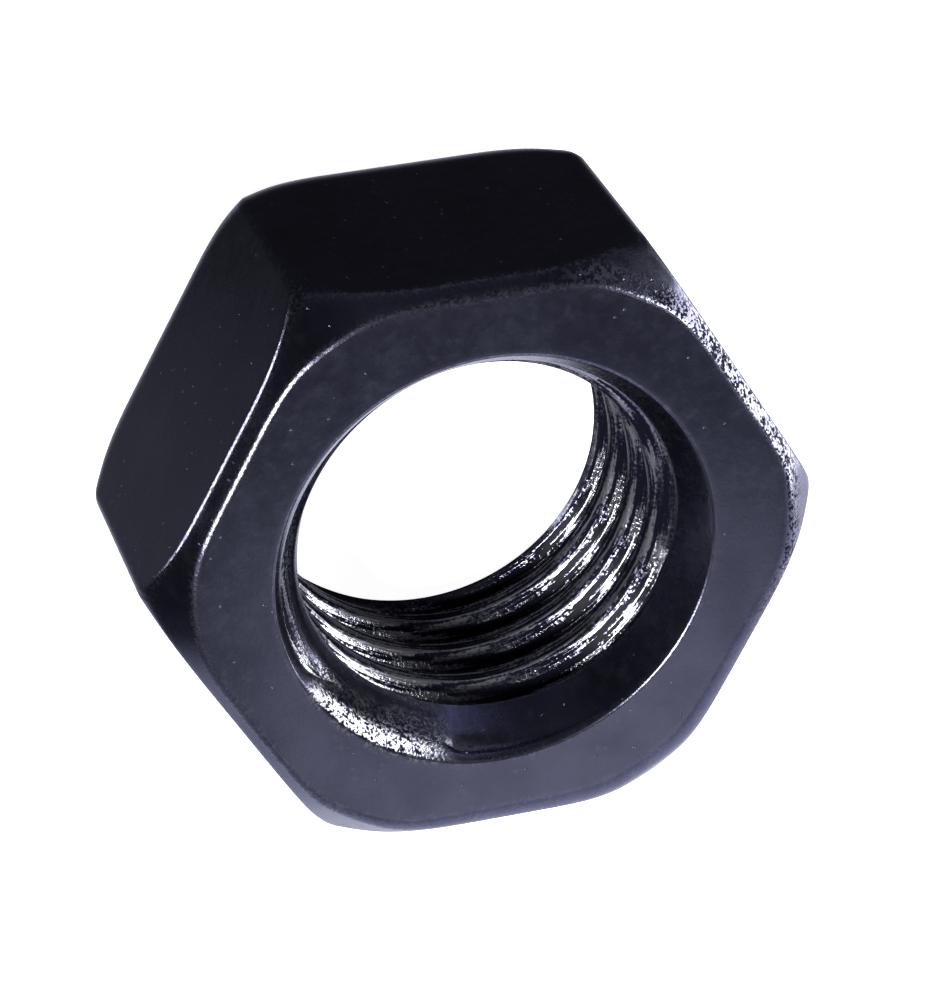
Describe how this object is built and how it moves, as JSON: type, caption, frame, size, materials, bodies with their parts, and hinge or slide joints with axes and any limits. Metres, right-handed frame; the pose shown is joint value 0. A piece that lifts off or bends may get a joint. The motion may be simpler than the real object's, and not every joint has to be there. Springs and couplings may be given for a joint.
{
  "type": "hex nut",
  "caption": "Hexagonal steel nut with a right-hand internal thread, chamfered corners and a countersink at both faces.",
  "frame": {"origin": "on the thread axis, at the lower bearing face", "axes": "+Z along the thread axis towards the upper bearing face, +X towards one corner of the hexagon, +Y square to a pair of flats"},
  "size_m": [0.016, 0.014, 0.0078],
  "materials": {
    "black_oxide_steel": "satin black oxide, oiled, with a faint blue cast and bright worn edges"
  },
  "bodies": {
    "root": {"hex_nut": "black_oxide_steel"}
  },
  "joints": []
}
